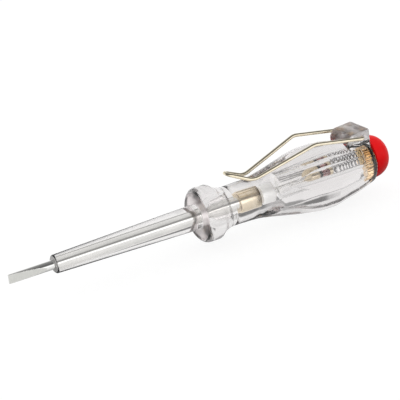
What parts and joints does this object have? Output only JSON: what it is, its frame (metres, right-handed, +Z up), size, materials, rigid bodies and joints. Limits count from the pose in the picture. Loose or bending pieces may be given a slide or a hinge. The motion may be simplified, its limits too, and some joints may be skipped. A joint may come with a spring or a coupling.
{
  "type": "voltage tester screwdriver",
  "caption": "Slim single-pole voltage tester with a flat blade in a clear sleeve, a clear fluted handle over its lamp circuit, a red screw cap and a hinged wire clip.",
  "frame": {"origin": "middle of the tool's length and width at the height of the surface it lies on", "axes": "+X along the tool from the blade's tip to the red cap, +Z up through the clip, +Y to the left of the tool seen from behind the cap"},
  "size_m": [0.14, 0.0224, 0.0253],
  "materials": {
    "blade_steel": "nickel-plated steel, fine grinding marks on the flat tip",
    "clear_plastic": "clear polished cellulose or acrylic plastic",
    "brass": "turned brass",
    "tinned_wire": "tinned copper wire",
    "ceramic": "pale matt coated resistor body",
    "lamp_glass": "thin glass tube with a pink tint from the gas filling",
    "electrode_metal": "dark coated nickel electrodes",
    "spring_steel": "bright spring wire",
    "black_rubber": "black rubber",
    "red_plastic": "satin red plastic",
    "nickel_wire": "pale yellow passivated spring wire"
  },
  "bodies": {
    "handle": {"driver_blade": "blade_steel", "blade_sleeve": "clear_plastic", "contact_bush": "brass", "resistor_lead_front": "tinned_wire", "resistor_body": "ceramic", "resistor_lead_rear": "tinned_wire", "handle_body": "clear_plastic", "lamp_cap_front": "brass", "lamp_glass": "lamp_glass", "lamp_electrode_a": "electrode_metal", "lamp_electrode_b": "electrode_metal", "lamp_cap_rear": "brass", "contact_spring": "spring_steel", "threaded_insert": "brass"},
    "seal": {"seal_ring": "black_rubber"},
    "cap": {"end_cap": "red_plastic", "cap_screw": "brass", "touch_contact": "blade_steel"},
    "clip": {"clip_wire": "nickel_wire"}
  },
  "joints": [
    {"name": "cap_travel", "type": "slide", "parent": "handle", "child": "seal", "axis": [1, 0, 0], "range_m": [0, 0.00337]},
    {"name": "cap_turn", "type": "hinge", "parent": "seal", "child": "cap", "pos_m": [0.0627, 0, 0.0121], "axis": [1, 0, 0], "range_deg": [0, 1620]},
    {"name": "clip_hinge", "type": "hinge", "parent": "handle", "child": "clip", "pos_m": [0.0587, 0, 0.02155], "axis": [0, 1, 0], "range_deg": [0, 20], "stiffness_Nm_per_rad": 0.06, "springref_deg": -2.86}
  ],
  "couplings": [
    {"joint": "cap_turn", "follows": "cap_travel", "rad_per_m": 8377.6}
  ]
}
